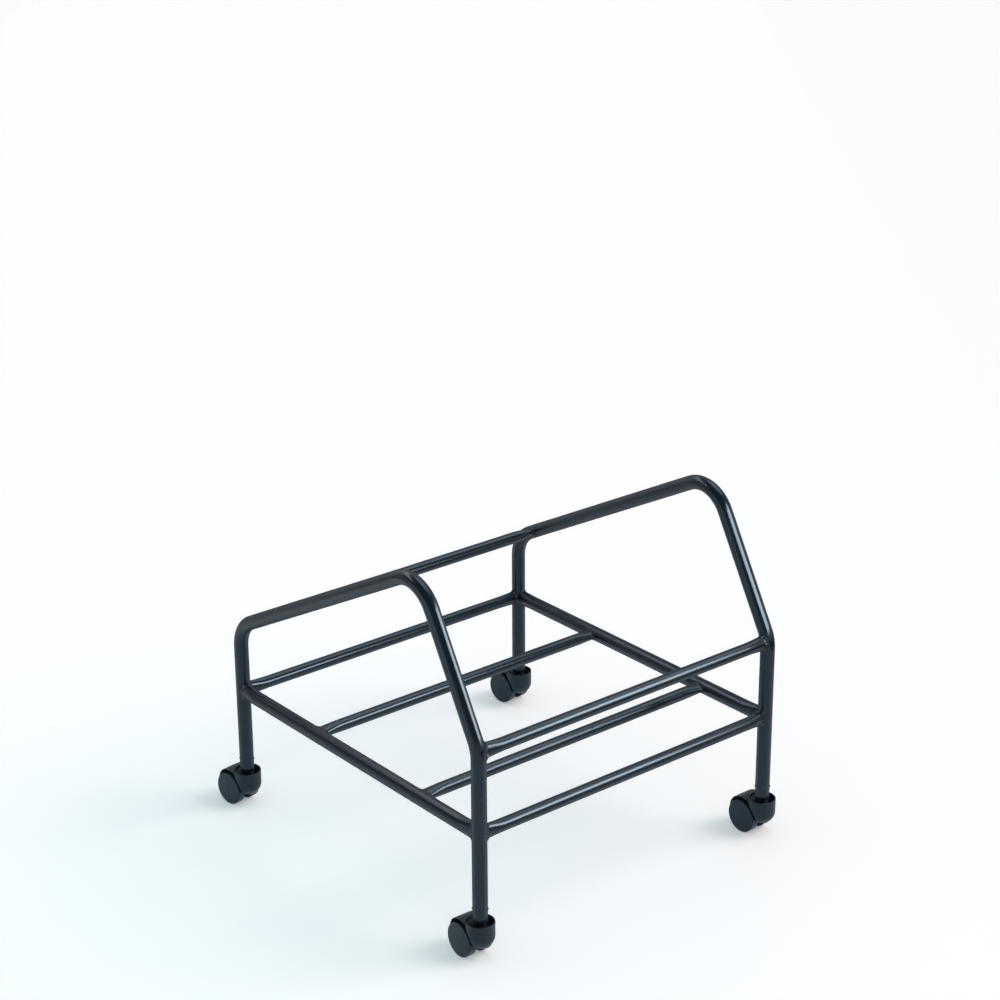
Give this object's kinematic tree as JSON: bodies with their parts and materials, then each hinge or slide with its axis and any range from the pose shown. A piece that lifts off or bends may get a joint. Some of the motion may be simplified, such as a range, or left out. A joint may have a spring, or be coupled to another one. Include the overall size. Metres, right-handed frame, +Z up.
{
  "type": "chair dolly",
  "caption": "Welded round-tube dolly with bent side loops and cross rails on swivelling twin-wheel casters, for storing and rolling a leaning stack of sled-base chairs.",
  "frame": {"origin": "on the floor, in the middle of the dolly's box", "axes": "+X across the dolly to its right, -Y to its front, where the low front rails are, +Z up from the floor"},
  "size_m": [0.6031, 0.6613, 0.5454],
  "materials": {
    "black_tube": "satin black powder coat over welded steel tube",
    "caster_plastic": "black moulded nylon with a fine texture",
    "wheel_plastic": "black moulded nylon wheel, smooth tread",
    "plated_steel": "black zinc plate"
  },
  "bodies": {
    "frame": {"left_side_loop": "black_tube", "right_side_loop": "black_tube", "left_side_rail": "black_tube", "right_side_rail": "black_tube", "rear_lower_rail": "black_tube", "rear_upper_rail": "black_tube", "rear_rest_rail": "black_tube", "middle_rail": "black_tube", "front_lower_rail": "black_tube", "front_rest_rail": "black_tube", "front_left_stem_socket": "black_tube", "front_left_stem": "plated_steel", "front_left_grip_ring": "plated_steel", "front_right_stem_socket": "black_tube", "front_right_stem": "plated_steel", "front_right_grip_ring": "plated_steel", "rear_left_stem_socket": "black_tube", "rear_left_stem": "plated_steel", "rear_left_grip_ring": "plated_steel", "rear_right_stem_socket": "black_tube", "rear_right_stem": "plated_steel", "rear_right_grip_ring": "plated_steel"},
    "front_left_caster": {"front_left_caster_body": "caster_plastic", "front_left_axle": "plated_steel"},
    "front_left_left_wheel": {"front_left_left_wheel": "wheel_plastic"},
    "front_left_right_wheel": {"front_left_right_wheel": "wheel_plastic"},
    "front_right_caster": {"front_right_caster_body": "caster_plastic", "front_right_axle": "plated_steel"},
    "front_right_left_wheel": {"front_right_left_wheel": "wheel_plastic"},
    "front_right_right_wheel": {"front_right_right_wheel": "wheel_plastic"},
    "rear_left_caster": {"rear_left_caster_body": "caster_plastic", "rear_left_axle": "plated_steel"},
    "rear_left_left_wheel": {"rear_left_left_wheel": "wheel_plastic"},
    "rear_left_right_wheel": {"rear_left_right_wheel": "wheel_plastic"},
    "rear_right_caster": {"rear_right_caster_body": "caster_plastic", "rear_right_axle": "plated_steel"},
    "rear_right_left_wheel": {"rear_right_left_wheel": "wheel_plastic"},
    "rear_right_right_wheel": {"rear_right_right_wheel": "wheel_plastic"}
  },
  "joints": [
    {"name": "front_left_swivel", "type": "hinge", "parent": "frame", "child": "front_left_caster", "pos_m": [-0.2775, -0.3064, 0], "axis": [0, 0, 1], "continuous": true},
    {"name": "front_left_left_roll", "type": "hinge", "parent": "front_left_caster", "child": "front_left_left_wheel", "pos_m": [-0.27687, -0.28241, 0.026], "axis": [0.9997, -0.0262, 0], "continuous": true},
    {"name": "front_left_right_roll", "type": "hinge", "parent": "front_left_caster", "child": "front_left_right_wheel", "pos_m": [-0.27687, -0.28241, 0.026], "axis": [0.9997, -0.0262, 0], "continuous": true},
    {"name": "front_right_swivel", "type": "hinge", "parent": "frame", "child": "front_right_caster", "pos_m": [0.2775, -0.3064, 0], "axis": [0, 0, 1], "continuous": true},
    {"name": "front_right_left_roll", "type": "hinge", "parent": "front_right_caster", "child": "front_right_left_wheel", "pos_m": [0.27708, -0.2824, 0.026], "axis": [0.9998, 0.0175, 0], "continuous": true},
    {"name": "front_right_right_roll", "type": "hinge", "parent": "front_right_caster", "child": "front_right_right_wheel", "pos_m": [0.27708, -0.2824, 0.026], "axis": [0.9998, 0.0175, 0], "continuous": true},
    {"name": "rear_left_swivel", "type": "hinge", "parent": "frame", "child": "rear_left_caster", "pos_m": [-0.2775, 0.2776, 0], "axis": [0, 0, 1], "continuous": true},
    {"name": "rear_left_left_roll", "type": "hinge", "parent": "rear_left_caster", "child": "rear_left_left_wheel", "pos_m": [-0.28042, 0.30142, 0.026], "axis": [0.9925, 0.1219, 0], "continuous": true},
    {"name": "rear_left_right_roll", "type": "hinge", "parent": "rear_left_caster", "child": "rear_left_right_wheel", "pos_m": [-0.28042, 0.30142, 0.026], "axis": [0.9925, 0.1219, 0], "continuous": true},
    {"name": "rear_right_swivel", "type": "hinge", "parent": "frame", "child": "rear_right_caster", "pos_m": [0.2775, 0.2776, 0], "axis": [0, 0, 1], "continuous": true},
    {"name": "rear_right_left_roll", "type": "hinge", "parent": "rear_right_caster", "child": "rear_right_left_wheel", "pos_m": [0.27583, 0.30154, 0.026], "axis": [0.9976, 0.0698, 0], "continuous": true},
    {"name": "rear_right_right_roll", "type": "hinge", "parent": "rear_right_caster", "child": "rear_right_right_wheel", "pos_m": [0.27583, 0.30154, 0.026], "axis": [0.9976, 0.0698, 0], "continuous": true}
  ]
}
